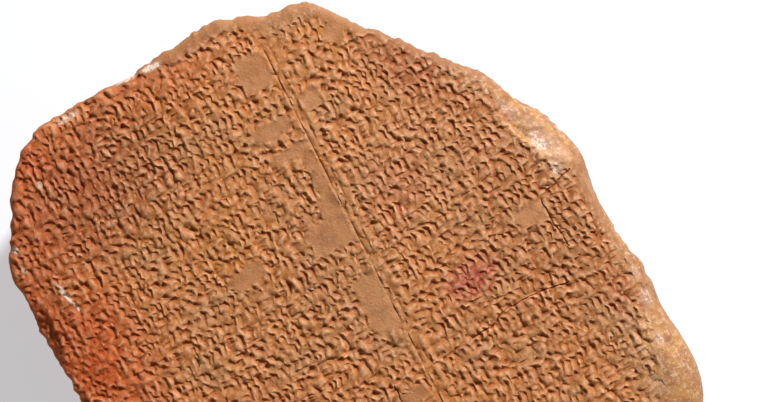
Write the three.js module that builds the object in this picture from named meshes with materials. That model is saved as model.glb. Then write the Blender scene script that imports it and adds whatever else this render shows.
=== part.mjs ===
// A broken piece of a large clay tablet, lying on its back with the written face up.
// +X runs along the rows of writing, +Y points to the head of the columns, and +Z points out of
// the written face. The origin is under the middle of the box, on the surface that it lies on.
// All sizes are in millimetres.
import * as THREE from 'three';
import { mergeGeometries, mergeVertices } from 'three/addons/utils/BufferGeometryUtils.js';

const THICKNESS = 29; // at the middle
const HALF_WIDTH = 62; // along the rows
const HALF_HEIGHT = 70; // along the columns
const FACE_CROWN = 2.4; // the written face is a shallow pillow: its rim lies this much lower
const BACK_CROWN = 6.0; // the back is rounder: its rim lies this much higher than its middle
const REST_RADIUS = 28; // the worn flat patch that it rests on

const BREAK_SHOULDER = { width: 2.4, drop: 1.4 }; // the crumbled arris along a break
const WORN_SHOULDER = { width: 5.6, drop: 4.4 }; // the rounded edge on the right
const BACK_SHOULDER = { width: 4.5, drop: 4.0 };
const BREAK_UNDERCUT = 3.4; // a broken side leans in this much towards the back
const FACET_DEPTH = 1.5; // the lumps of a fracture
const SIDE_BULGE = 1.6; // the worn right-hand side is rounded by this much

// The two columns of writing are parted by a pair of ruled lines, pressed in along a straight edge.
const RULE_X = 9.1;
const RULE_SPACING = 1.7;
const RULE_WIDTH = 0.9;
const RULE_DEPTH = 0.45;
const RULE_FOOT = -52;
const RULE_HEAD = 60;
const RULE_FADE = 5; // each line runs out over this length

const FACE_RINGS = 14; // rings of facets from the middle to the shoulder
const SHOULDER_RINGS = 3;
const RINGS = FACE_RINGS + SHOULDER_RINGS;
const SIDE_ROWS = 5;

// The outline of the fragment seen from above, by its stretches, anticlockwise.
const RIGHT_EDGE = [
  [59.5, -52.5], [61.7, -46.0], [61.8, -37.0], [60.7, -29.5], [61.4, -21.5], [59.6, -11.5], [58.8, -1.5],
  [60.1, 8.5], [58.4, 16.0], [56.8, 20.4],
];
const SLANTING_BREAK = [[52.8, 25.6], [49.6, 32.2], [43.4, 39.4], [35.2, 49.0], [27.4, 57.6]];
const TOP_POINT = [[23.6, 62.6], [20.4, 65.0], [13.0, 65.6]];
const TOP_BREAK = [[7.8, 67.6], [2.5, 69.4], [-9.0, 68.8], [-18.0, 67.4], [-34.0, 67.1], [-43.6, 65.9]];
const LEFT_BREAK = [
  [-49.0, 62.0], [-53.6, 56.4], [-58.8, 47.6], [-61.9, 40.0], [-61.4, 33.5], [-61.8, 28.5], [-61.2, 17.0],
  [-60.4, 3.0], [-60.6, -11.0],
];
const LOWER_BREAK = [
  [-59.0, -21.0], [-55.0, -31.0], [-47.5, -39.5], [-36.0, -47.5], [-23.5, -54.0], [-10.0, -60.5], [4.5, -64.8],
  [18.0, -68.0], [31.0, -69.4], [42.5, -66.8], [52.0, -61.0],
];

// Flakes lost from the rim, as shallow dishes: the middle, the half-lengths, the turn in degrees
// and the depth.
const FLAKES = [
  { at: [54.6, 17.5], reach: [11.0, 5.0], turn: 118, depth: 1.9 },
  { at: [59.5, -33.0], reach: [10.0, 3.6], turn: 92, depth: 1.0 },
  { at: [-35.0, 66.5], reach: [6.0, 2.8], turn: 0, depth: 1.3 },
  { at: [-61.0, 24.0], reach: [6.5, 3.0], turn: 88, depth: 1.2 },
  { at: [-43.0, -42.0], reach: [9.0, 4.0], turn: -36, depth: 1.8 },
  { at: [12.0, -66.0], reach: [10.0, 3.6], turn: -12, depth: 1.6 },
];

const smooth = (t) => {
  const held = THREE.MathUtils.clamp(t, 0, 1);
  return held * held * (3 - 2 * held);
};

// A bump of height 1 around an angle in degrees, which wraps round the circle.
function around(theta, middle, halfWidth) {
  const away = THREE.MathUtils.euclideanModulo(THREE.MathUtils.radToDeg(theta) - middle + 180, 360) - 180;
  return Math.exp(-((away / halfWidth) ** 2));
}

// The grids below are centred on the ruled pair, so angles and reaches are taken from there.
const wrap = (angle) => Math.atan2(Math.sin(angle), Math.cos(angle));

// The distance from the grid's middle to the outline in any direction, read off one closed curve.
function outlineReader() {
  const stretches = [RIGHT_EDGE, SLANTING_BREAK, TOP_POINT, TOP_BREAK, LEFT_BREAK, LOWER_BREAK];
  const corners = stretches.flat().map(([x, y]) => new THREE.Vector3(x - RULE_X, y, 0));
  const curve = new THREE.CatmullRomCurve3(corners, true, 'centripetal');
  const marks = curve.getPoints(1440).map((p) => ({ angle: Math.atan2(p.y, p.x), reach: Math.hypot(p.x, p.y) }));
  marks.sort((one, other) => one.angle - other.angle);
  marks.push({ angle: marks[0].angle + 2 * Math.PI, reach: marks[0].reach });
  return (theta) => {
    const angle = theta < marks[0].angle ? theta + 2 * Math.PI : theta;
    const high = Math.max(1, marks.findIndex((mark) => mark.angle >= angle));
    const [near, far] = [marks[high - 1], marks[high]];
    const share = (angle - near.angle) / Math.max(far.angle - near.angle, 1e-9);
    return near.reach + (far.reach - near.reach) * share;
  };
}
const outline = outlineReader();

// How worn the edge is: 1 along the rounded right-hand edge, 0 on the breaks.
const wear = (theta) => Math.min(1, around(theta, -34, 28) + around(theta, 14, 24));

// The quarter-ellipse over which the written face turns down at its rim. It is broadest at the
// lower right, where most of the original edge is left.
function shoulder(theta) {
  const worn = wear(theta);
  const broad = around(theta, -42, 16);
  return {
    width: THREE.MathUtils.lerp(BREAK_SHOULDER.width, WORN_SHOULDER.width, worn) + 5.0 * broad,
    drop: THREE.MathUtils.lerp(BREAK_SHOULDER.drop, WORN_SHOULDER.drop, worn) + 1.8 * broad,
  };
}

function flakeDepth(x, y) {
  return FLAKES.reduce((sum, { at, reach, turn, depth }) => {
    const angle = THREE.MathUtils.degToRad(turn);
    const [dx, dy] = [x - at[0], y - at[1]];
    const along = (dx * Math.cos(angle) + dy * Math.sin(angle)) / reach[0];
    const across = (dy * Math.cos(angle) - dx * Math.sin(angle)) / reach[1];
    return sum + depth * smooth(1.35 - Math.hypot(along, across));
  }, 0);
}

// The ruled pair: each line is a V that is RULE_DEPTH deep and runs out at its ends.
function ruleDepth(x, y) {
  const away = Math.abs(Math.abs(x - RULE_X) - RULE_SPACING / 2);
  const ends = smooth((y - RULE_FOOT) / RULE_FADE) * smooth((RULE_HEAD - y) / RULE_FADE);
  return RULE_DEPTH * ends * Math.max(0, 1 - away / (RULE_WIDTH / 2));
}

// Lumps and hollows of the hand-shaped surface: a few slow waves.
const swell = (x, y) => 0.35 * Math.sin(x / 17 + 0.6) * Math.sin(y / 21 - 0.4)
  + 0.22 * Math.sin(x / 9.5 - y / 12.5 + 1.1);

const awayFromMiddle = (x, y) => Math.hypot(x / HALF_WIDTH, y / HALF_HEIGHT);

const faceHeight = (x, y) => THICKNESS - FACE_CROWN * awayFromMiddle(x, y) ** 2.2 + swell(x, y)
  - flakeDepth(x, y) - ruleDepth(x, y);

// The back is exactly flat inside the worn patch and rises as a bowl around it.
function backHeight(x, y) {
  const away = Math.max(0, Math.hypot(x, y) - REST_RADIUS) / (HALF_HEIGHT - REST_RADIUS);
  return BACK_CROWN * away ** 1.6 + (swell(y, x) + 0.6) * smooth(2.5 * away);
}

// A point on ring number `ring` of a disc of facets: rings up to FACE_RINGS run out to the
// shoulder line, and the last SHOULDER_RINGS turn over it on a quarter-ellipse.
function ringPoint(theta, ring, reach, edge, height) {
  const share = Math.min(ring / FACE_RINGS, 1);
  const turn = (Math.max(ring - FACE_RINGS, 0) / SHOULDER_RINGS) * (Math.PI / 2);
  const distance = (reach - edge.width) * share + edge.width * Math.sin(turn);
  const [x, y] = [RULE_X + distance * Math.cos(theta), distance * Math.sin(theta)];
  return [x, y, height(x, y, edge.drop * (1 - Math.cos(turn)))];
}

const facePoint = (theta, ring) => ringPoint(
  theta, ring, outline(theta), shoulder(theta), (x, y, drop) => faceHeight(x, y) - drop,
);

// How far a side stands inside the outline, from the face (down = 0) to the back (down = 1): a
// break leans in and is faceted by its fracture, and the worn side is rounded.
function sideInset(theta, down) {
  const worn = wear(theta);
  const facets = Math.abs(Math.sin(6.5 * theta + 4 * down)) + Math.abs(Math.sin(4 * theta - 3 * down + 0.8));
  const broken = BREAK_UNDERCUT * down ** 1.4 + FACET_DEPTH * facets * Math.sin(Math.PI * down * 0.8) ** 2;
  const rounded = Math.max(0, (2 * down - 0.7) ** 2 - 0.49) * SIDE_BULGE;
  return broken * (1 - worn) + rounded * worn;
}

const backPoint = (theta, ring) => ringPoint(
  theta, ring, outline(theta) - sideInset(theta, 1), BACK_SHOULDER, (x, y, rise) => backHeight(x, y) + rise,
);

// The lines of the square grid that is laid over each disc. Next to its middle line stand six
// more, parallel to it, for the edges and beds of the two ruled lines.
const evenLines = Array.from({ length: 2 * RINGS + 1 }, (_, i) => ({ at: (i - RINGS) / RINGS, aside: 0 }));
const ruleLines = [-1, 1].flatMap((side) => [-1, 0, 1].map(
  (edge) => ({ at: 0, aside: (side * RULE_SPACING + edge * RULE_WIDTH) / 2 }),
));
const acrossLines = [...evenLines, ...ruleLines].sort((one, other) => one.at - other.at || one.aside - other.aside);

// The square from -1 to 1 laid over a disc, so that each square ring becomes a round one: the
// ring is the larger coordinate, and the smaller one gives the angle within the quarter.
function onDisc(across, up) {
  const [a, b] = [across.at, up.at];
  if (across.aside !== 0) return onRuleLine(across.aside, b);
  if (a === 0 && b === 0) return { theta: 0, ring: 0 };
  const eighth = Math.PI / 4;
  const theta = Math.abs(a) >= Math.abs(b)
    ? eighth * (b / a) + (a < 0 ? Math.PI : 0)
    : 2 * eighth - eighth * (a / b) + (b < 0 ? Math.PI : 0);
  return { theta: wrap(theta), ring: RINGS * Math.max(Math.abs(a), Math.abs(b)) };
}

// A line beside the middle one keeps its distance from it on every ring.
function onRuleLine(aside, b) {
  const pole = b < 0 ? -Math.PI / 2 : Math.PI / 2;
  const flat = outline(b === 0 ? 0 : pole) - BREAK_SHOULDER.width;
  if (b === 0) return { theta: aside < 0 ? Math.PI : 0, ring: FACE_RINGS * (Math.abs(aside) / flat) };
  const ring = RINGS * Math.abs(b);
  const distance = flat * Math.min(ring / FACE_RINGS, 1);
  return { theta: Math.sign(b) * Math.acos(aside / distance), ring };
}

// A grid of points as triangles, with each quad cut along the diagonal that split() chooses.
function gridGeometry(columns, rows, point, split, flip) {
  const positions = [];
  const indices = [];
  for (let j = 0; j <= rows; j += 1) {
    for (let i = 0; i <= columns; i += 1) positions.push(...point(i, j));
  }
  for (let j = 0; j < rows; j += 1) {
    for (let i = 0; i < columns; i += 1) {
      const a = j * (columns + 1) + i;
      const [b, c, d] = [a + 1, a + columns + 2, a + columns + 1];
      const triangles = split(i, j) ? [[a, b, c], [a, c, d]] : [[a, b, d], [b, c, d]];
      triangles.forEach((corners) => indices.push(...(flip ? corners.reverse() : corners)));
    }
  }
  const geometry = new THREE.BufferGeometry();
  geometry.setAttribute('position', new THREE.Float32BufferAttribute(positions, 3));
  geometry.setIndex(indices);
  return geometry;
}

// The written face or the back. Every quad is cut along the diagonal that points to the middle.
function discGrid(pointOnDisc, flip) {
  const [columns, rows] = [acrossLines.length - 1, evenLines.length - 1];
  const point = (i, j) => {
    const { theta, ring } = onDisc(acrossLines[i], evenLines[j]);
    return pointOnDisc(theta, ring);
  };
  const split = (i, j) => (i < columns / 2) === (j < rows / 2);
  return gridGeometry(columns, rows, point, split, flip);
}

// The side, from the rim of the face down to the rim of the back, all the way round.
function sideGrid() {
  const [first, last] = [evenLines[0], evenLines[evenLines.length - 1]];
  const lap = [
    ...acrossLines.slice(0, -1).map((line) => onDisc(line, first)),
    ...evenLines.slice(0, -1).map((line) => onDisc(last, line)),
    ...acrossLines.slice(1).reverse().map((line) => onDisc(line, last)),
    ...evenLines.slice().reverse().map((line) => onDisc(first, line)),
  ];
  const point = (i, j) => {
    const { theta } = lap[i];
    const down = j / SIDE_ROWS;
    const top = facePoint(theta, RINGS)[2];
    const bottom = backPoint(theta, RINGS)[2];
    const distance = outline(theta) - sideInset(theta, down);
    return [
      RULE_X + distance * Math.cos(theta), distance * Math.sin(theta), THREE.MathUtils.lerp(top, bottom, down),
    ];
  };
  return gridGeometry(lap.length - 1, SIDE_ROWS, point, (i, j) => (i + j) % 2 === 0, true);
}

function tabletGeometry() {
  const skins = [discGrid(facePoint, false), discGrid(backPoint, true), sideGrid()];
  const geometry = mergeVertices(mergeGeometries(skins), 1e-3);
  geometry.computeBoundingBox();
  const middle = geometry.boundingBox.getCenter(new THREE.Vector3());
  geometry.translate(-middle.x, -middle.y, 0);
  geometry.computeVertexNormals();
  return geometry;
}

const firedClay = new THREE.MeshStandardMaterial({ color: '#b87a4c', roughness: 0.85, metalness: 0 });

const tablet = new THREE.Mesh(tabletGeometry(), firedClay);
tablet.name = 'tablet';

const part = new THREE.Group();
part.add(tablet);

export default part;
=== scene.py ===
"""A broken piece of a large clay tablet, lying on its back on a pale board.

The written face is covered in rows of small wedge-shaped strokes, in two columns that a ruled pair
of lines parts. The strokes are laid out at random, so they are no writing. Lengths are in
millimetres up to the point where a mesh is made, and MM turns them into metres. Angles are in
degrees, anticlockwise from +X.
"""
import math

import bpy
import numpy as np
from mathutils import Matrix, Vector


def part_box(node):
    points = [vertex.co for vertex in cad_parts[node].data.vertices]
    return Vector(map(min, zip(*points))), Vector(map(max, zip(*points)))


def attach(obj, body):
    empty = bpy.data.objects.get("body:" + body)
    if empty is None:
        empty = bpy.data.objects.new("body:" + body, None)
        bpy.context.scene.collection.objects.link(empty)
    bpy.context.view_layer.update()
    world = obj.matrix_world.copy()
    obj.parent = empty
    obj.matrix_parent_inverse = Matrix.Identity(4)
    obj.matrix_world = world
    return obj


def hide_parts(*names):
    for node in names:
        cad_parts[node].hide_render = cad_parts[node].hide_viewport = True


MM = 0.001

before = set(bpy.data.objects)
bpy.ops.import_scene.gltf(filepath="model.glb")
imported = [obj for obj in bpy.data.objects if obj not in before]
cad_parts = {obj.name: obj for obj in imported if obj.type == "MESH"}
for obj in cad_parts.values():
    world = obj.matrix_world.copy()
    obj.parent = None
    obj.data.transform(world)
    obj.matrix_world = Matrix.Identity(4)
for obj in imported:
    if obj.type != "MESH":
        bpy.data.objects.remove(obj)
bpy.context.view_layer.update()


# The view, the floor and the light: straight down on the written face, turned so that the rows of
# strokes run down to the right. One lamp stands low at the upper right, so that it rakes over the
# strokes. A warm dim room and a white board that glows faintly, a painted light, fill the shadows.
VIEW_TURN = 27
VIEW_AIM = (17.3, 18.2)
VIEW_WIDTH = 165.6
LENS = 120
FACE_LEVEL = 25.5
CLIP_END = 20000
FLOOR_HALF = 3000
FLOOR_COLOUR = "#bbc0c8"
GLOW_COLOUR = "#f2f6ff"
FLOOR_GLOW = 0.5
KEY_BEARING = 33
KEY_HEIGHT = 31
KEY_DISTANCE = 1600
KEY_SIZE = 160
KEY_POWER = 42
ROOM_COLOUR = "#ffd9a8"
ROOM_STRENGTH = 0.22


def linear(colour):
    """An sRGB hex colour as linear red, green, blue and alpha."""
    parts = [int(colour[i:i + 2], 16) / 255 for i in (1, 3, 5)]
    return [c / 12.92 if c <= 0.04045 else ((c + 0.055) / 1.055) ** 2.4 for c in parts] + [1.0]


def add_node(tree, kind, values=None, links=None, **settings):
    """A shader node with its settings, its input values and its links from other sockets."""
    node = tree.nodes.new(kind)
    for name, value in settings.items():
        setattr(node, name, value)
    for name, value in (values or {}).items():
        node.inputs[name].default_value = value
    for name, socket in (links or {}).items():
        tree.links.new(socket, node.inputs[name])
    return node


def new_material(name):
    """An empty node material and its output node."""
    material = bpy.data.materials.new(name)
    material.use_nodes = True
    material.node_tree.nodes.clear()
    return material, material.node_tree.nodes.new("ShaderNodeOutputMaterial")


scene = bpy.context.scene
scene.view_settings.view_transform = "Standard"

camera = bpy.data.objects.new("camera", bpy.data.cameras.new("camera"))
scene.collection.objects.link(camera)
camera.data.lens = LENS
camera.data.clip_end = CLIP_END * MM
distance = VIEW_WIDTH * LENS / camera.data.sensor_width
camera.location = (VIEW_AIM[0] * MM, VIEW_AIM[1] * MM, (FACE_LEVEL + distance) * MM)
camera.rotation_euler = (0, 0, math.radians(-VIEW_TURN))
scene.camera = camera

key = bpy.data.objects.new("key_light", bpy.data.lights.new("key_light", "AREA"))
scene.collection.objects.link(key)
key.data.size = KEY_SIZE * MM
key.data.energy = KEY_POWER
bearing, height = math.radians(KEY_BEARING), math.radians(KEY_HEIGHT)
key.location = [
    KEY_DISTANCE * MM * math.cos(bearing) * math.cos(height),
    KEY_DISTANCE * MM * math.sin(bearing) * math.cos(height),
    KEY_DISTANCE * MM * math.sin(height),
]
key.rotation_euler = (0, math.pi / 2 - height, bearing)

world = bpy.data.worlds.new("room")
world.use_nodes = True
world.node_tree.nodes["Background"].inputs["Color"].default_value = linear(ROOM_COLOUR)
world.node_tree.nodes["Background"].inputs["Strength"].default_value = ROOM_STRENGTH
scene.world = world

floor_mesh = bpy.data.meshes.new("floor")
half = FLOOR_HALF * MM
floor_corners = [(-half, -half, 0), (half, -half, 0), (half, half, 0), (-half, half, 0)]
floor_mesh.from_pydata(floor_corners, [], [(0, 1, 2, 3)])
floor = bpy.data.objects.new("floor", floor_mesh)
scene.collection.objects.link(floor)
white_board, output = new_material("matt_white_board")
board = add_node(
    white_board.node_tree, "ShaderNodeBsdfPrincipled",
    {"Base Color": linear(FLOOR_COLOUR), "Roughness": 0.9, "Specular IOR Level": 0.2,
     "Emission Color": linear(GLOW_COLOUR), "Emission Strength": FLOOR_GLOW},
)
white_board.node_tree.links.new(board.outputs[0], output.inputs[0])
floor_mesh.materials.append(white_board)


# The body of the tablet: a thick pillow of fired clay, flatter on the written face and rounder on
# the back. Its left, upper and lower sides are breaks, and its right side is the worn old edge.
# The outline and the sizes of the box come from the frame.
FACE_GAP = 0.2
FACE_CROWN = 2.4
CROWN_POWER = 2.2
BACK_CROWN = 6.0
REST_RADIUS = 28
BREAK_SHOULDER = (2.4, 1.4)
WORN_SHOULDER = (5.6, 4.4)
BROAD_SHOULDER = (5.0, 1.8)
BACK_SHOULDER = (4.5, 4.0)
BREAK_UNDERCUT = 3.4
FACET_DEPTH = 0.8
SIDE_BULGE = 1.6
CHIP_DEPTH = 0.45
CHIP_RING = 66
SIDE_HEIGHT = 19
FLAKES = (
    # middle, half-lengths, turn, depth and steepness of each flake lost from the rim
    ((54.6, 17.5), (11.0, 5.0), 118, 1.9, 3.2),
    ((59.5, -33.0), (10.0, 3.6), 92, 0.8, 1.6),
    ((-35.0, 66.5), (6.0, 2.8), 0, 1.3, 1.6),
    ((-61.0, 24.0), (6.5, 3.0), 88, 1.2, 1.0),
    ((-43.0, -42.0), (9.0, 4.0), -36, 1.8, 0.9),
    ((12.0, -66.0), (10.0, 3.6), -12, 1.6, 0.9),
)

tablet_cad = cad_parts["tablet"]
box_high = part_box("tablet")[1]
THICKNESS = box_high[2] / MM
HALF_WIDTH = box_high[0] / MM
HALF_HEIGHT = box_high[1] / MM


def smooth(t):
    """A smooth step: 3t^2 - 2t^3 between 0 and 1."""
    t = np.clip(t, 0, 1)
    return t * t * (3 - 2 * t)


def around(theta, middle, half_width):
    """A bump of height 1 about an angle in degrees: exp(-(difference / half_width)^2)."""
    away = (np.degrees(theta) - middle + 180) % 360 - 180
    return np.exp(-((away / half_width) ** 2))


def dish(x, y, middle, reach, turn, edge=1.0, power=2):
    """A spot on a turned ellipse with the given half-lengths: 1 in its middle and 0 well outside,
    the slope between them edge times as steep as the plain smooth one. Distance from the middle is
    (|u|^power + |v|^power)^(1/power), so that a higher power squares the spot's corners."""
    c, s = math.cos(math.radians(turn)), math.sin(math.radians(turn))
    dx, dy = x - middle[0], y - middle[1]
    u, v = np.abs(dx * c + dy * s) / reach[0], np.abs(dy * c - dx * s) / reach[1]
    away = np.hypot(u, v) if power == 2 else (u ** power + v ** power) ** (1 / power)
    return smooth(0.5 + edge * (0.85 - away))


def lumps(x, y, z, size, seed):
    """Smooth noise from -1 to 1: random heights at the corners of a cubic lattice with the given
    spacing, blended by smooth steps along each axis."""
    heights = np.random.default_rng(seed).uniform(-1, 1, (64, 64, 64)).astype(np.float32)
    low, near = [], []
    for line in (x, y, z):
        q = np.asarray(line, np.float32) / size + 37.3
        low.append(np.floor(q).astype(np.int32))
        near.append(smooth(q - low[-1]))
    total = 0.0
    for i in (0, 1):
        for j in (0, 1):
            for k in (0, 1):
                corner = heights[(low[0] + i) & 63, (low[1] + j) & 63, (low[2] + k) & 63]
                total = total + corner * (near[0] if i else 1 - near[0]) * (
                    near[1] if j else 1 - near[1]) * (near[2] if k else 1 - near[2])
    return total


def rim_reader(node):
    """The outline of a CAD solid seen from above, as reach against angle, with and without its small
    turns. A corner is on the outline if none stands further out by more than their distance apart."""
    corners = np.empty(len(node.data.vertices) * 3, np.float32)
    node.data.vertices.foreach_get("co", corners)
    flat = np.unique(np.round(corners.reshape(-1, 3)[:, :2] / MM, 3), axis=0)
    angle, reach = np.arctan2(flat[:, 1], flat[:, 0]), np.hypot(flat[:, 0], flat[:, 1])
    apart = np.abs(angle[:, None] - angle[None])
    apart = np.minimum(apart, 2 * np.pi - apart) * reach[None]
    outer = np.all(reach[:, None] >= reach[None] - apart, axis=1)
    order = np.argsort(angle[outer])
    steps = np.linspace(-np.pi, np.pi, 2048, endpoint=False)
    table = np.interp(steps, angle[outer][order], reach[outer][order], period=2 * np.pi)
    waves = np.fft.rfft(table)
    keep = np.arange(len(waves))
    sharp = np.fft.irfft(waves * np.exp(-((keep / 170) ** 2)))
    blunt = np.fft.irfft(waves * np.exp(-((keep / 22) ** 2)))
    return [
        lambda theta, row=row: np.interp(theta, steps, row, period=2 * np.pi) for row in (sharp, blunt)
    ]


rim, blunt_rim = rim_reader(tablet_cad)


def wear(theta):
    """1 along the rounded old edge on the right, 0 on the breaks."""
    return np.minimum(1, around(theta, -34, 28) + around(theta, 14, 24))


def shoulder_drop(theta, inside):
    """The quarter-ellipse over which the face turns down: drop (1 - sqrt(1 - t^2)), where t runs
    from 0 at the shoulder line to 1 at the rim. inside is the distance from the rim."""
    worn, broad = wear(theta), around(theta, -42, 16)
    width, drop = [
        sharp + (old - sharp) * worn + extra * broad
        for sharp, old, extra in zip(BREAK_SHOULDER, WORN_SHOULDER, BROAD_SHOULDER)
    ]
    t = np.clip(1 - inside / width, 0, 1)
    return drop * (1 - np.sqrt(1 - t * t))


def swell(x, y):
    """The slow lumps and hollows of a surface shaped by hand."""
    return 0.35 * np.sin(x / 17 + 0.6) * np.sin(y / 21 - 0.4) + 0.22 * np.sin(x / 9.5 - y / 12.5 + 1.1)


def flaked(x, y):
    """The depth of the flakes lost from the rim, with the steep ragged edges they broke along."""
    ragged = 1.1 * lumps(x, y, 0 * x, 4.0, 31) + 0.5 * lumps(x, y, 0 * x, 1.3, 32)
    return sum(
        depth * dish(x + ragged, y - ragged, at, reach, turn, edge)
        for at, reach, turn, depth, edge in FLAKES)


def face_height(x, y):
    """The written face without its strokes: a pillow, less its flakes and its rounded shoulder."""
    theta = np.arctan2(y, x)
    inside = rim(theta) - np.hypot(x, y)
    away = np.hypot(x / HALF_WIDTH, y / HALF_HEIGHT)
    pillow = THICKNESS - FACE_GAP - FACE_CROWN * away ** CROWN_POWER + swell(x, y)
    return pillow - flaked(x, y) - shoulder_drop(theta, inside)


def back_height(x, y):
    """The back: exactly flat where it rests, and a bowl around that."""
    theta = np.arctan2(y, x)
    inside = rim(theta) - side_inset(theta, 1) - np.hypot(x, y)
    away = np.maximum(0, np.hypot(x, y) - REST_RADIUS) / (HALF_HEIGHT - REST_RADIUS)
    t = np.clip(1 - inside / BACK_SHOULDER[0], 0, 1)
    bowl = BACK_CROWN * away ** 1.6 + (swell(y, x) + 0.6) * smooth(2.5 * away)
    rough = 0.35 * lumps(x, y, 0 * x, 6.5, 41) + 0.12 * lumps(x, y, 0 * x, 2.2, 42)
    return bowl + rough * smooth(3 * away) + BACK_SHOULDER[1] * (1 - np.sqrt(1 - t * t))


def side_inset(theta, down):
    """How far a side stands inside the outline, from the face (down = 0) to the back (down = 1)."""
    worn = wear(theta)
    facets = np.abs(np.sin(6.5 * theta + 4 * down)) + np.abs(np.sin(4 * theta - 3 * down + 0.8))
    broken = BREAK_UNDERCUT * down ** 1.4 + FACET_DEPTH * facets * np.sin(np.pi * down * 0.8) ** 2
    rounded = np.maximum(0, (2 * down - 0.7) ** 2 - 0.49) * SIDE_BULGE
    blunted = (rim(theta) - blunt_rim(theta)) * smooth(1.6 * down)
    return broken * (1 - worn) + rounded * worn + blunted


# The strokes: a stylus with a square corner was pressed into the damp clay, and each press left a
# three-sided pit with a steep head, one steep wall and one broad wall. They stand in rows that rise
# a little to the right. The relief is worked out on a fine map of the face, as heights in
# millimetres, which the mesh then reads.
CELL = 0.1
MAP_HALF = (66.0, 74.0)
ROW_PITCH = 3.76
ROW_SLOPE = 0.105
ROW_BEND = 0.0007
COLUMNS = ((-63.0, 7.4, 0.0), (11.0, 62.0, 1.5))
HEAD_WALL = 2.6
HEAD_SLANT = 0.55
STEEP_WALL = 1.7
BROAD_WALL = 0.55
STROKE_DEPTH = 0.97
CREST_RADIUS = 0.09
WINDOW_CELLS = 29
STROKES_AT_ONCE = 500
FILL_SPACING = 1.95
FILL_DEPTH = 0.5
RULES = ((8.9, 0.30), (10.3, 0.18))  # place and depth of each line
RULE_SPAN = (-52, 62)
RULE_HALF = 0.24
PILLOW_SIZE = 2.4
PILLOW_HEIGHT = 0.42
BARE_EDGE = (
    # width of the unwritten band inside the rim, against the angle
    (-180, 0.3), (-100, 2.0), (-75, 4.0), (-44, 12.0), (-36, 9.0), (-28, 4.5), (-20, 2.4), (-8, 2.2),
    (4, 2.8), (14, 6.5), (20, 6.5), (28, 3.0), (44, 1.6), (58, 1.0), (68, 3.2), (78, 3.0), (88, 2.4),
    (98, 3.0), (106, 0.4), (180, 0.3),
)
BLANKS = (
    # middle, half-lengths and turn of the places left smooth
    ((4.6, 55.3), (3.7, 4.6), 0), ((2.4, 42.6), (5.2, 1.8), 4), ((4.8, 36.4), (5.6, 1.5), 4),
    ((7.0, 29.5), (1.6, 6.6), 0), ((3.8, 17.0), (5.4, 4.0), 0), ((6.2, 22.2), (2.4, 2.8), 0),
    ((5.9, -0.7), (3.5, 7.6), 0), ((-16.0, 17.0), (4.4, 2.2), 4), ((13.3, 44.6), (2.2, 2.2), 0),
    ((44.5, 1.4), (4.0, 2.2), 6), ((24.0, 55.4), (2.2, 2.2), -40), ((3.6, -22.0), (4.4, 1.8), 4),
    ((-33.0, -12.0), (3.6, 1.8), 4), ((6.0, -39.0), (3.4, 3.4), 0), ((33.0, -47.0), (4.4, 2.0), 8),
)
CRACKS = (
    ((20.8, -16.8), (26.0, -16.2), (30.6, -14.2), (36.0, -14.4), (45.0, -15.2)),
    ((49.6, 4.4), (52.5, 5.2), (56.0, 6.3)),
    ((47.4, 3.6), (47.6, -2.6), (48.4, -8.5)),
    ((1.3, -18.2), (1.1, -22.4)),
)
WORN_LEFT = -34.0
WORN_WIDTH = 14.0
CRACK_HALF = 0.17
CRACK_DEPTH = 0.6

rng = np.random.default_rng(27)
map_shape = (round(2 * MAP_HALF[1] / CELL), round(2 * MAP_HALF[0] / CELL))
map_x, map_y = np.meshgrid(
    (np.arange(map_shape[1]) + 0.5) * CELL - MAP_HALF[0],
    (np.arange(map_shape[0]) + 0.5) * CELL - MAP_HALF[1],
)


def blur(field, sigma):
    """A Gaussian blur of a map by its Fourier transform, sigma in millimetres."""
    fy, fx = np.fft.fftfreq(field.shape[0], CELL)[:, None], np.fft.rfftfreq(field.shape[1], CELL)[None]
    kept = np.exp(-2 * (np.pi * sigma) ** 2 * (fx * fx + fy * fy))
    return np.fft.irfft2(np.fft.rfft2(field) * kept, s=field.shape)


def read_map(field, x, y):
    """A map's value at any point, blended from the four nearest cells."""
    q = np.clip((x + MAP_HALF[0]) / CELL - 0.5, 0, field.shape[1] - 1.001)
    r = np.clip((y + MAP_HALF[1]) / CELL - 0.5, 0, field.shape[0] - 1.001)
    i, j = q.astype(int), r.astype(int)
    q, r = q - i, r - j
    return (field[j, i] * (1 - q) + field[j, i + 1] * q) * (1 - r) + (
        field[j + 1, i] * (1 - q) + field[j + 1, i + 1] * q) * r


def rounded(height, radius):
    """A surface with its ridges and edges rounded and its creases left sharp: the highest points
    that a paraboloid of the given radius, z = -(x^2 + y^2) / (2 radius), reaches from below."""
    reach = math.ceil(2.4 * radius / CELL)
    for pick, sign in ((np.minimum, 1), (np.maximum, -1)):
        for axis in (0, 1):
            flat = height
            for step in range(1, reach + 1):
                lift = sign * (step * CELL) ** 2 / (2 * radius)
                height = pick(height, np.roll(flat, step, axis) + lift)
                height = pick(height, np.roll(flat, -step, axis) + lift)
    return height


def stroke(x, y, heading, width, length, spread=13):
    """One press of the stylus: its head's place, its heading, its width and its length."""
    turned = heading + rng.normal(0, spread)
    return [x, y, turned, width * rng.uniform(0.85, 1.25), length * rng.uniform(0.85, 1.2)]


# Each made-up sign takes a count, which those of a fixed shape leave unused, and gives its strokes,
# placed from its own left end and base line, and its width.
def uprights(count, spacing=1.55):
    """Tall strokes side by side."""
    return [stroke(0.9 + spacing * i, 3.5, -90, 1.8, 3.7) for i in range(count)], spacing * count + 0.1


def double_uprights(count, spacing=1.5):
    """Two storeys of short strokes."""
    heads = [(0.8 + spacing * i, y) for i in range(count) for y in (3.6, 1.8)]
    return [stroke(x, y, -90, 1.65, 2.1) for x, y in heads], spacing * count + 0.1


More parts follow.
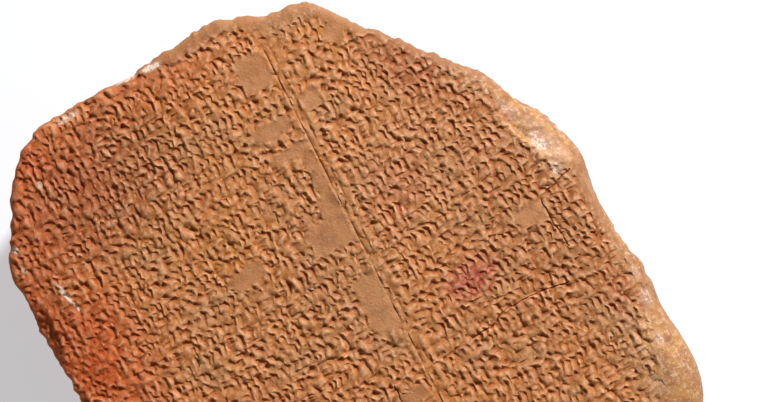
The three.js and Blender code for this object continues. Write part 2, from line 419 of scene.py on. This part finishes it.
def levels(count):
    """Level strokes one above another, closed by an upright."""
    rows = [stroke(0.2, 0.8 + 2.5 * i / max(count - 1, 1), 3, 1.4, 3.0) for i in range(count)]
    return rows + [stroke(3.4, 3.6, -90, 1.7, 3.5)], 4.2


def comb(count, spacing=1.5):
    """Uprights held between two long level strokes."""
    rows = [stroke(0.1, y, 3, 1.3, spacing * count + 1.3) for y in (0.6, 3.1)]
    held = [stroke(1.3 + spacing * i, 3.3, -90, 1.65, 2.8) for i in range(count)]
    return rows + held, spacing * count + 1.5


def corners(count):
    """Short slanting presses of the stylus's corner."""
    presses = [stroke(0.5 + 1.3 * i, 3.3 - 1.1 * (i % 2), -42, 2.1, 2.2) for i in range(count)]
    return presses, 1.4 * count + 0.7


def corner_stack(count):
    """Three corner presses one above another."""
    return [stroke(0.5, 3.4 - 1.25 * i, -28, 1.7, 2.1) for i in range(3)], 1.9


def crossed(count):
    """Two slanting strokes that cross, and an upright."""
    falling, rising = stroke(0.3, 3.5, -48, 1.8, 3.8), stroke(0.4, 0.7, 32, 1.5, 3.1)
    return [falling, rising, stroke(2.9, 3.5, -90, 1.8, 3.4)], 3.5


def low_level(count):
    """Two short uprights over a level stroke."""
    level = stroke(0.1, 0.9, 3, 1.4, 3.0)
    return [level, stroke(1.0, 3.6, -90, 1.65, 2.2), stroke(2.5, 3.6, -90, 1.65, 2.2)], 3.2


SIGNS = (
    # each made-up sign and how often it comes
    (uprights, 0.14), (double_uprights, 0.20), (levels, 0.18), (comb, 0.10), (corners, 0.18),
    (corner_stack, 0.07), (crossed, 0.09), (low_level, 0.04),
)


def written_rows():
    """All strokes: row by row in each column, one made-up sign after another, with a fresh draw for
    each. A row's base line is y = base + slope x + bend x^2, and every stroke turns with it."""
    makers = [maker for maker, _ in SIGNS]
    odds = np.array([share for _, share in SIGNS])
    strokes = []
    for left, right, start in COLUMNS:
        for row in range(-26, 24):
            x = left + rng.uniform(0, 1.0)
            base = start + row * ROW_PITCH + rng.normal(0, 0.15)
            while x < right - 1.2:
                maker = makers[rng.choice(len(makers), p=odds / odds.sum())]
                sign, width = maker(int(rng.integers(1, 6)))
                lift = rng.normal(0, 0.25)
                for dx, dy, heading, broad, length in sign:
                    px = x + dx + rng.normal(0, 0.14)
                    tilt = math.degrees(math.atan(ROW_SLOPE + 2 * ROW_BEND * px))
                    py = base + lift + ROW_SLOPE * px + ROW_BEND * px * px + dy - 0.5 * ROW_PITCH
                    turn = heading + tilt * (1 if abs(heading) < 60 else 0.35)
                    if px < right:
                        strokes.append((px, py + rng.normal(0, 0.18), turn, broad, length))
                x += width + rng.uniform(-0.25, 0.1)
    return np.array(strokes)


def filling_strokes():
    """Small shallow strokes all over, which crowd the gaps between the signs."""
    x, y = np.meshgrid(np.arange(-64, 64, FILL_SPACING), np.arange(-72, 72, FILL_SPACING))
    n = x.size
    x, y = x.ravel() + rng.uniform(-1.1, 1.1, n), y.ravel() + rng.uniform(-1.1, 1.1, n)
    turn = np.where(rng.uniform(size=n) < 0.6, rng.normal(-90, 24, n), rng.normal(0, 26, n))
    return np.stack([x, y, turn, rng.uniform(0.9, 1.7, n), rng.uniform(1.4, 3.0, n)], 1)


def bare_width(theta):
    """How wide the unwritten band inside the rim is."""
    table = np.array(BARE_EDGE, float)
    return np.interp(np.degrees(theta), table[:, 0], table[:, 1], period=360)


def blanked(x, y):
    """1 on the places left smooth and 0 off them: rounded oblongs with ragged sides."""
    ragged = 0.35 * lumps(x, y, 0 * x, 2.2, 36)
    spots = [dish(x + ragged, y + ragged, at, reach, turn, 3.0, 5) for at, reach, turn in BLANKS]
    return np.max(spots, axis=0)


def keep_written(strokes):
    """The strokes whose heads stand on written ground."""
    x, y = strokes[:, 0], strokes[:, 1]
    theta = np.arctan2(y, x)
    inside = rim(theta) - np.hypot(x, y)
    return strokes[(inside > 0.6 * bare_width(theta)) & (blanked(x, y) < 0.5)]


def pressed(strokes, deepest):
    """Depth of the pits on the map. In a stroke's own axes, u runs from the head to the tip and v
    away from its steep wall: depth = min(head wall, steep wall, broad wall, floor). The head wall
    stands on a slanting line. Both side walls draw in and grow gentler towards the tip, the broad
    one swelling like a pillow, and the floor rises behind the head. Where pits meet, the deeper
    one counts. Each stroke is worked out on a small window of cells about its middle."""
    x, y, heading, width, length = strokes.T[:, :, None, None]
    heading = np.radians(heading)
    c, s = np.cos(heading), np.sin(heading)
    slant = HEAD_SLANT * rng.uniform(0.6, 1.4, c.shape)
    bottom = deepest * rng.uniform(0.6, 1.15, c.shape)
    depth = np.zeros(map_shape, np.float32)
    span = np.arange(-WINDOW_CELLS, WINDOW_CELLS + 1)
    middle_i = ((x + 0.5 * length * c + MAP_HALF[0]) / CELL).astype(int)
    middle_j = ((y + 0.5 * length * s + MAP_HALF[1]) / CELL).astype(int)
    for first in range(0, len(strokes), STROKES_AT_ONCE):
        part = slice(first, first + STROKES_AT_ONCE)
        i = middle_i[part] + span[None, None, :]
        j = middle_j[part] + span[None, :, None]
        px = (i + 0.5) * CELL - MAP_HALF[0] - x[part]
        py = (j + 0.5) * CELL - MAP_HALF[1] - y[part]
        u, v = px * c[part] + py * s[part], px * s[part] - py * c[part]
        along = np.clip(u / length[part], 0, 1)
        half = 0.5 * width[part] * (1 - 0.55 * along)
        head = (u + slant[part] * v) / np.hypot(1, slant[part])
        ground = 0.3 * np.clip(6.3 - 6 * along, 0, 1) + 0.7 * np.clip(1 - 1.6 * along, 0, 1)
        steep = STEEP_WALL * (1 - 0.85 * along) * (half + v)
        broad = BROAD_WALL * (1 - 0.4 * along) * np.maximum(half - v, 0) ** 1.2
        pit = np.minimum(np.minimum(HEAD_WALL * head, steep), np.minimum(broad, bottom[part] * ground))
        on_map = (i >= 0) & (i < map_shape[1]) & (j >= 0) & (j < map_shape[0])
        seen = (pit > 0) & (u < length[part]) & on_map
        rows, cols = np.broadcast_to(j, pit.shape)[seen], np.broadcast_to(i, pit.shape)[seen]
        np.maximum.at(depth, (rows, cols), pit[seen].astype(np.float32))
    return depth


def near_path(path, stray_x, stray_y):
    """Distance of every cell, strayed a little, from a line of straight pieces."""
    x, y = map_x + stray_x, map_y + stray_y
    nearest = np.full(map_shape, 1e9)
    for (x0, y0), (x1, y1) in zip(path[:-1], path[1:]):
        dx, dy = x1 - x0, y1 - y0
        t = np.clip(((x - x0) * dx + (y - y0) * dy) / (dx * dx + dy * dy), 0, 1)
        nearest = np.minimum(nearest, np.hypot(x - x0 - t * dx, y - y0 - t * dy))
    return nearest


def relief_maps():
    """The relief of the written face, the depth of its pits, and where the ground is written on:
    the clay pushed up round the strokes, less the strokes, the rules and the cracks, with fine
    grain over all of it, and softened where the left side is rubbed."""
    flat = np.zeros(map_shape)
    map_theta = np.arctan2(map_y, map_x)
    inside = rim(map_theta) - np.hypot(map_x, map_y)
    pits = pressed(keep_written(written_rows()), STROKE_DEPTH)
    pits = np.maximum(pits, pressed(keep_written(filling_strokes()), STROKE_DEPTH * FILL_DEPTH))
    wander = [0.13 * lumps(map_x, map_y, flat, 1.6, seed) for seed in (11, 12)]
    pits = read_map(pits, map_x + wander[0], map_y + wander[1])
    bare = bare_width(map_theta)
    written = smooth((inside - 0.6 * bare + 0.4) / (0.7 * bare + 0.8))
    blank = blanked(map_x, map_y)
    pits *= written * (1 - blank) * (1 + 0.25 * lumps(map_x, map_y, flat, 4.0, 13))
    lips = 0.5 * blur(pits, 0.24) * np.clip(1 - pits / 0.22, 0, 1)
    lips += 0.45 * blur(pits, 1.0) - 0.2 * blur(pits, 0.5)
    fibres = 0.16 * lumps(map_x, map_y / 3, flat, 0.55, 21) + 0.10 * lumps(
        (map_x + 0.6 * map_y) / 3, map_y - 0.4 * map_x, flat, 0.5, 22)
    waver = 0.15 * lumps(map_x * 0, map_y, flat, 14.0, 14)
    ends = smooth((map_y - RULE_SPAN[0]) / 5) * smooth((RULE_SPAN[1] - map_y) / 3)
    rules = sum(
        deep * ends * np.clip(1 - np.abs(map_x + waver - at) / RULE_HALF, 0, 1) for at, deep in RULES)
    ragged = [0.30 * lumps(map_x, map_y, flat, 1.3, seed) for seed in (18, 19)]
    cracks = sum(np.clip(1 - near_path(path, *ragged) / CRACK_HALF, 0, 1) for path in CRACKS)
    grain = 0.07 * lumps(map_x, map_y, flat, 1.6, 15) + 0.04 * lumps(map_x, map_y, flat, 0.8, 16)
    deep = np.maximum(pits, rules)
    scar = np.clip(flaked(map_x, map_y), 0, 1)
    rough = 0.30 * lumps(map_x, map_y, flat, 1.7, 33) + 0.22 * lumps(map_x, map_y, flat, 0.8, 34)
    fine = grain * (1 - 0.5 * blank) + fibres * (0.35 + 0.65 * written) * (1 - blank) + rough * scar
    rubbed = WORN_LEFT - map_x - 0.3 * map_y + 5 * lumps(map_x, map_y, flat, 12.0, 35)
    rubbed = 0.6 * smooth(rubbed / WORN_WIDTH)
    pillows = PILLOW_HEIGHT * (1 + 0.7 * rubbed) * np.abs(lumps(map_x, map_y, flat, PILLOW_SIZE, 23))
    pillows *= written * (1 - blank)
    # Depth for the dirt and painted shade that darken the pits, the rules and the cracks.
    pit_dirt_and_shade = pits + 0.3 * rules + 0.6 * cracks
    carved = rounded(lips + pillows - deep, CREST_RADIUS) - CRACK_DEPTH * cracks
    carved = carved + rubbed * (blur(carved, 0.12) - carved)
    return carved + fine * (1 - 0.4 * rubbed), pit_dirt_and_shade, written * (1 - blank)


relief, pit_depth, written_ground = relief_maps()


# The mesh of the tablet: two round grids, one for the face and one for the back, with a wall of
# rows between their rims, closed and seamless. Where the surface is smooth the mesh is then thinned.
GRID_CELLS = 620
SIDE_ROWS = 72
MOST_TRIANGLES = 199000
SHARP_ANGLE = 42


def round_grid(cells):
    """The square from -1 to 1 laid over a disc: the larger coordinate is the ring, and the smaller
    one gives the angle within the quarter. Returns the angle and the ring of every corner."""
    line = np.linspace(-1, 1, cells + 1)
    a, b = np.meshgrid(line, line)
    wide = np.abs(a) >= np.abs(b)
    safe_a, safe_b = np.where(wide & (a != 0), a, 1), np.where(wide, 1, b)
    theta = np.where(
        wide,
        np.pi / 4 * b / safe_a + np.pi * (a < 0),
        np.pi / 2 - np.pi / 4 * a / safe_b + np.pi * (b < 0),
    )
    return theta, np.maximum(np.abs(a), np.abs(b))


def lap_of(numbers):
    """The numbers along a square table's edge, once round, anticlockwise."""
    return np.concatenate([numbers[0, :-1], numbers[:-1, -1], numbers[-1, :0:-1], numbers[:0:-1, 0]])


def quads(numbers):
    """The four-cornered faces of a table of corner numbers."""
    around_each = [numbers[:-1, :-1], numbers[:-1, 1:], numbers[1:, 1:], numbers[1:, :-1]]
    return np.stack(around_each, -1).reshape(-1, 4)


def side_reach(theta, down):
    """How far out a side stands, from the face (down = 0) to the back (down = 1): the outline less
    the inset, with fine chips at every level and, below the face, the torn faces of the break."""
    x, y, z = CHIP_RING * np.cos(theta), CHIP_RING * np.sin(theta), SIDE_HEIGHT * (1 - down) + 0 * theta
    whole = 1 - 0.85 * wear(theta)
    chips = lumps(x, y, z, 3.0, 51) + 0.7 * lumps(x, y, z, 1.2, 52) + 0.2 * lumps(x, y, z, 0.6, 53)
    crumbled = 0.6 * np.abs(lumps(x, y, z, 2.1, 63)) + 0.15 * lumps(x, y, z, 0.9, 64)
    torn = (
        2.4 * np.abs(lumps(x, y, z, 10.0, 61)) + 1.7 * np.abs(lumps(x, y, z, 4.6, 62))
        + crumbled * smooth(6 * (1 - down))
    )
    below = smooth(12 * down) * (1 - 0.88 * wear(theta))
    return rim(theta) - side_inset(theta, down) + CHIP_DEPTH * whole * chips - below * torn


def tablet_corners():
    """Corners and faces of the whole skin: x = reach cos, y = reach sin, and z from the face, the
    back or the wall between them."""
    theta, ring = round_grid(GRID_CELLS)
    reach = ring * rim(theta) + (side_reach(theta, 0) - rim(theta)) * ring ** 20
    x, y = reach * np.cos(theta), reach * np.sin(theta)
    plain = ring * rim(theta)
    face_z = face_height(plain * np.cos(theta), plain * np.sin(theta)) + read_map(relief, x, y)
    plain = ring * (rim(theta) - side_inset(theta, 1))
    reach = plain + (side_reach(theta, 1) - rim(theta) + side_inset(theta, 1)) * ring ** 4
    back_x, back_y = reach * np.cos(theta), reach * np.sin(theta)
    back_z = np.maximum(0, back_height(plain * np.cos(theta), plain * np.sin(theta)))

    numbers = np.arange(theta.size).reshape(theta.shape)
    lap = lap_of(numbers)
    lap_theta = theta.ravel()[lap][None]
    down = (np.arange(1, SIDE_ROWS) / SIDE_ROWS)[:, None]
    top, bottom = face_z.ravel()[lap][None], back_z.ravel()[lap][None]
    side_z = top + (bottom - top) * down
    out = side_reach(lap_theta, down)
    sx, sy = out * np.cos(lap_theta), out * np.sin(lap_theta)

    points = np.concatenate([
        np.stack([x, y, face_z], -1).reshape(-1, 3), np.stack([back_x, back_y, back_z], -1).reshape(-1, 3),
        np.stack([sx, sy, side_z], -1).reshape(-1, 3),
    ])
    walls = np.concatenate([
        lap[None], 2 * theta.size + np.arange(sx.size).reshape(sx.shape), theta.size + lap[None],
    ])
    walls = np.concatenate([walls, walls[:, :1]], axis=1)
    faces = np.concatenate([quads(numbers), quads(theta.size + numbers)[:, ::-1], quads(walls)[:, ::-1]])
    return points, faces


def mesh_from(name, points, faces):
    """A mesh from arrays of corners, in millimetres, and of four-cornered faces."""
    mesh = bpy.data.meshes.new(name)
    mesh.vertices.add(len(points))
    mesh.vertices.foreach_set("co", (points * MM).astype(np.float32).ravel())
    mesh.loops.add(faces.size)
    mesh.loops.foreach_set("vertex_index", faces.astype(np.int32).ravel())
    mesh.polygons.add(len(faces))
    mesh.polygons.foreach_set("loop_start", np.arange(0, faces.size, 4, dtype=np.int32))
    mesh.update(calc_edges=True)
    return mesh


points, faces = tablet_corners()
dense = bpy.data.objects.new("dense", mesh_from("dense", points, faces))
scene.collection.objects.link(dense)
thin = dense.modifiers.new("thin", "DECIMATE")
thin.ratio = MOST_TRIANGLES / (2 * len(faces))
depsgraph = bpy.context.evaluated_depsgraph_get()
tablet_mesh = bpy.data.meshes.new_from_object(dense.evaluated_get(depsgraph))
bpy.data.objects.remove(dense)
tablet_mesh.shade_smooth()
tablet_mesh.set_sharp_from_angle(angle=math.radians(SHARP_ANGLE))
tablet = bpy.data.objects.new("clay_tablet", tablet_mesh)
scene.collection.objects.link(tablet)


# The colours of the clay: it was fired unevenly, tan in the middle, red on the left and pinkish on
# the right, and ground salts have left white crusts where the surface has flaked. The shade patches
# are painted shade, darkening the right rim, which faces the lamp, and the upper left. Each is a
# patch, with its middle, half-lengths, turn and strength, that is stored on the mesh for the material.
REDS = (
    ((-60, 18), (20, 32), 0, 1.0), ((-50, 52), (24, 20), 0, 0.9), ((-26, 64), (30, 10), 0, 0.45),
    ((-50, -22), (26, 22), 0, 0.8), ((-12, 64), (15, 6), 8, 0.3), ((15, 67), (9, 4), -8, 0.5),
    ((56, 30), (16, 7), 130, 0.35), ((38, 38), (16, 5), 130, 0.45),
)
PINKS = (
    ((27, -5), (7, 4.5), 8, 1.0), ((21, 20), (8, 8), 0, 0.3), ((50, 34), (5, 3), 120, 0.5),
    ((54, -24), (4, 6), 0, 0.4),
)
OCHRES = (
    ((-18, 24), (5, 10), 0, 0.8), ((-30, 34), (9, 5), 0, 0.5), ((23, 55), (5, 4), 0, 0.7),
    ((-15, 55), (10, 6), 0, 0.5), ((42, 32), (5, 4), 120, 0.6), ((47, 8), (6, 5), 0, 0.4),
    ((-8, 40), (6, 7), 0, 0.4), ((56, -34), (4, 9), 0, 0.5),
)
GREYS = (
    ((4, 12), (13, 26), 0, 0.9), ((26, 22), (16, 16), 0, 0.7), ((45, -2), (10, 8), 0, 0.5),
    ((-20, 4), (14, 8), 0, 0.35),
)
PALES = (
    ((56, -40), (8, 16), 12, 1.0), ((18, 64), (10, 4), -8, 0.5), ((54, 16), (6, 13), 14, 0.9),
    ((47, 31), (9, 3), 130, 0.7), ((60, -14), (3.4, 16), 0, 0.8), ((-2, 67), (11, 3), 0, 0.4),
    ((4.4, 16.4), (5, 4), 0, 0.3), ((6.2, 0), (3.4, 8), 0, 0.3),
)
# Painted shade: these patches darken the colour on the right rim, which faces the lamp, and on the upper
# left.
PAINTED_SHADES = (
    ((52, 8), (24, 46), 10, 0.36), ((60, -2), (6, 30), 0, 0.65), ((46, 44), (22, 16), 130, 0.8),
    ((-36, 48), (24, 15), 0, 0.55), ((-58, 34), (8, 24), 0, 0.3),
)
SALTS = (
    ((53.0, 14.5), (2.6, 4.6), 16, 0.72), ((53.6, 8.0), (1.8, 3.0), 0, 0.7),
    ((50.0, 24.4), (1.8, 3.6), 24, 0.64), ((54.6, 14.0), (4.4, 9.0), 18, 0.56),
    ((58.6, 14.2), (1.4, 2.4), 0, 0.66), ((58.4, 1.0), (1.2, 4.0), 0, 0.5),
    ((-35.6, 65.4), (4.2, 1.3), 4, 0.82), ((-20.5, 66.8), (3.6, 1.0), 0, 0.8),
    ((-14.3, 66.6), (3.2, 1.1), 0, 0.9), ((-47.3, 54.8), (2.0, 0.9), 80, 0.7),
    ((-58.4, 44.8), (1.0, 1.8), 20, 0.8), ((-53.0, 31.6), (0.62, 3.4), 12, 1.2),
    ((-51.9, 27.8), (0.5, 1.6), 10, 1.1), ((-58.6, 40.0), (0.7, 1.8), 0, 0.7),
    ((-62.2, 29.8), (0.8, 1.8), 0, 0.8), ((58.6, -26), (2.4, 3.4), 0, 0.68),
    ((56.6, -35), (2.0, 3.0), 0, 0.62), ((58.6, -20), (1.6, 2.6), 0, 0.6),
    ((52, -44), (2.6, 3.4), 0, 0.52),
)

corner_count = len(tablet_mesh.vertices)
corner_places = np.empty(corner_count * 3, np.float32)
tablet_mesh.vertices.foreach_get("co", corner_places)
cx, cy, cz = (corner_places.reshape(-1, 3) / MM).astype(np.float64).T
theta = np.arctan2(cy, cx)
near_top = smooth((cz - face_height(cx, cy) + 2.4) / 0.8)
on_face = near_top * smooth((rim(theta) - np.hypot(cx, cy) + 0.9) / 0.6)


def patches(spots):
    """Soft spots with their strengths, the strongest at each place."""
    return np.max([power * dish(cx, cy, at, reach, turn) for at, reach, turn, power in spots], axis=0)


def store(name, values):
    """One number for each corner, kept on the mesh for the material."""
    layer = tablet_mesh.attributes.new(name, "FLOAT", "POINT")
    layer.data.foreach_set("value", np.asarray(values, np.float32))


ridge = relief - blur(relief, 0.6)
# Depth of the pits, rules and cracks, for the dirt and painted shade in them.
store("pit", on_face * np.clip(read_map(pit_depth, cx, cy) / 0.65, 0, 1))
# Crest height, for the painted highlight on the crests.
store("ridge", on_face * np.clip(read_map(ridge, cx, cy) / 0.18, 0, 1))
store("bare", on_face * (1 - read_map(written_ground, cx, cy)))
store("blank", on_face * blanked(cx, cy))
upper = smooth((cz - 0.45 * THICKNESS) / 10)
broken = (1 - on_face) * (1 - wear(theta)) * smooth((cz - back_height(cx, cy)) / 2)
store("broken", broken)
store("rough", np.maximum(on_face * read_map(written_ground, cx, cy), 0.9 * broken))
store("red", patches(REDS) * upper)
store("pink", patches(PINKS) * on_face)
store("ochre", patches(OCHRES) * on_face)
store("grey", patches(GREYS) * on_face)
# Painted shade on the right rim and the upper left.
store("shade", patches(PAINTED_SHADES) * upper)
store("pale", np.maximum(patches(PALES) * upper, 0.7 * wear(theta) * (1 - on_face) * upper))
store("salt", patches(SALTS) * smooth((cz - 0.7 * THICKNESS) / 5))

TAN = "#b26e34"
RED = "#bc4a0a"
PINK = "#a2493a"
OCHRE = "#aa6c1e"
GREY = "#aa774a"
PALE = "#966743"
PANEL = "#b88056"
SALT = "#dfd0c2"
FILM = "#b8937a"
YELLOW = "#b07f45"
FLECK = "#c4a88c"
# Dirt and painted shade in the pits, and dark specks on the breaks.
PIT_DIRT_AND_SHADE = "#92360a"
# Painted shade.
PAINTED_SHADE = "#85512c"
# Painted highlight on the crests.
CREST_HIGHLIGHT = "#e9b894"
RUST = "#9e5824"
CORE = "#a06a44"
# Pale dust on the crests, partly a painted highlight.
DUST_AND_HIGHLIGHT = "#c4a684"
GRIT = "#7a4420"

# Low-fired clay, pressed by hand and left unglazed: dull, grainy and unevenly coloured. A faint gloss
# stays where it was handled, and the breaks are rougher.
fired_clay, output = new_material("fired_clay")
tree = fired_clay.node_tree
place = add_node(tree, "ShaderNodeTexCoord").outputs["Object"]


def clouds(size, detail, roughness=0.55):
    """Cloudy noise whose blots are about size millimetres across, from 0 to 1."""
    return add_node(
        tree, "ShaderNodeTexNoise", {"Scale": 1 / (size * MM), "Detail": detail, "Roughness": roughness},
        {"Vector": place},
    ).outputs["Fac"]


def stored(name):
    """A patch or a depth that the mesh carries."""
    return add_node(tree, "ShaderNodeAttribute", attribute_name=name).outputs["Fac"]


def ranged(value, low, high, to_low=0.0, to_high=1.0):
    """A value taken from low..high to to_low..to_high, and held there."""
    return add_node(
        tree, "ShaderNodeMapRange",
        {"From Min": low, "From Max": high, "To Min": to_low, "To Max": to_high}, {"Value": value},
    ).outputs["Result"]


def product(one, other):
    """Two values multiplied."""
    return add_node(tree, "ShaderNodeMath", links={0: one, 1: other}, operation="MULTIPLY").outputs[0]


def total(one, other):
    """Two values added."""
    return add_node(tree, "ShaderNodeMath", links={0: one, 1: other}, operation="ADD").outputs[0]


def mixed(below, colour, share):
    """A colour laid over another by a share from 0 to 1."""
    return add_node(
        tree, "ShaderNodeMix", {"B": linear(colour)}, {"Factor": share, "A": below}, data_type="RGBA",
    ).outputs["Result"]


blots = clouds(9, 4)
stains = clouds(3.4, 4, 0.6)
specks = clouds(1.6, 5, 0.65)
crumbs = clouds(0.9, 4, 0.7)
grit = clouds(0.35, 3)

# The clay's own tones, from the broad ones to the small.
base = add_node(
    tree, "ShaderNodeMix", {"A": linear(TAN), "B": linear(GREY)}, {"Factor": ranged(blots, 0.42, 0.66)},
    data_type="RGBA",
).outputs["Result"]
base = mixed(base, GREY, product(stored("grey"), ranged(specks, 0.30, 0.60)))
base = mixed(base, RED, product(stored("red"), ranged(blots, 0.25, 0.65, 0.5, 0.9)))
base = mixed(base, OCHRE, product(stored("ochre"), ranged(specks, 0.38, 0.62)))
base = mixed(base, PINK, product(stored("pink"), ranged(specks, 0.30, 0.55)))
base = mixed(base, PALE, product(stored("pale"), ranged(specks, 0.25, 0.60, 0.4, 1.0)))
base = mixed(base, RUST, ranged(stains, 0.54, 0.70, 0.0, 0.5))
# Painted shade: darker colour on the right rim, which faces the lamp, and on the upper left.
base = mixed(base, PAINTED_SHADE, stored("shade"))

# Bare ground, the smooth panels, the old edge's yellowish wear, and the strokes' depths and
# crests: dirt and painted shade down in them, and painted highlights with pale dust on the crests.
base = mixed(base, PALE, product(stored("bare"), ranged(crumbs, 0.30, 0.62, 0.15, 0.80)))
base = mixed(base, PANEL, product(stored("blank"), ranged(stains, 0.36, 0.58, 0.15, 0.95)))
base = mixed(base, YELLOW, product(stored("pale"), ranged(stains, 0.42, 0.60, 0.0, 0.9)))
base = mixed(base, FLECK, product(stored("pale"), ranged(crumbs, 0.50, 0.66, 0.0, 0.9)))
# Pale dust in patches on the crests, partly a painted highlight.
base = mixed(base, DUST_AND_HIGHLIGHT, product(stored("ridge"), ranged(blots, 0.52, 0.36, 0.0, 0.3)))
# Painted highlight: the crests are made lighter, less so on the red clay.
painted_crest_highlight = ranged(stored("ridge"), 0.2, 1.0, 0.0, 0.42)
base = mixed(base, CREST_HIGHLIGHT, product(painted_crest_highlight, ranged(stored("red"), 0.0, 1.0, 1.0, 0.6)))
base = mixed(base, CORE, product(stored("broken"), ranged(stains, 0.30, 0.62, 0.2, 0.9)))
base = mixed(base, FLECK, product(stored("broken"), ranged(crumbs, 0.56, 0.68, 0.0, 0.6)))
base = mixed(base, PIT_DIRT_AND_SHADE, product(stored("broken"), ranged(specks, 0.42, 0.28, 0.0, 0.5)))
# Dirt and painted shade: the deeper the pit, the darker its colour.
base = mixed(base, PIT_DIRT_AND_SHADE, ranged(stored("pit"), 0.35, 1.0, 0.0, 0.8))

# White salts lie on top: a thin film, and crumbs of crust in it. Then comes the grit of the clay.
crust = total(stored("salt"), crumbs)
base = mixed(base, FILM, ranged(stored("salt"), 0.30, 0.62, 0.0, 0.55))
base = mixed(base, SALT, ranged(crust, 1.14, 1.30, 0.0, 0.95))
base = mixed(base, GRIT, ranged(grit, 0.60, 0.78, 0.0, 0.5))
base = mixed(base, PALE, ranged(grit, 0.40, 0.22, 0.0, 0.4))

# Fired clay is dull and takes a fine grain: creases 1.5 mm apart and grains of half a millimetre.
creases = add_node(
    tree, "ShaderNodeTexNoise", {"Scale": 1 / (1.5 * MM), "Detail": 3, "Roughness": 0.5, "Lacunarity": 2.2},
    {"Vector": place}, noise_type="RIDGED_MULTIFRACTAL", normalize=True,
).outputs["Fac"]
crease_bump = add_node(
    tree, "ShaderNodeBump", {"Distance": 0.22 * MM},
    {"Height": creases, "Strength": ranged(stored("rough"), 0.0, 1.0, 0.35, 1.0)},
).outputs["Normal"]
bump = add_node(
    tree, "ShaderNodeBump", {"Strength": 0.9, "Distance": 0.16 * MM},
    {"Height": clouds(0.5, 4, 0.6), "Normal": crease_bump},
).outputs["Normal"]
roughness = total(ranged(specks, 0.3, 0.7, 0.62, 0.80), ranged(stored("broken"), 0.0, 0.6, 0.0, 0.15))
clay = add_node(
    tree, "ShaderNodeBsdfPrincipled", {"Specular IOR Level": 0.4},
    {"Base Color": base, "Roughness": roughness, "Normal": bump},
)
tree.links.new(clay.outputs[0], output.inputs[0])
tablet_mesh.materials.clear()
tablet_mesh.materials.append(fired_clay)

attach(tablet, "root")
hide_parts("tablet")
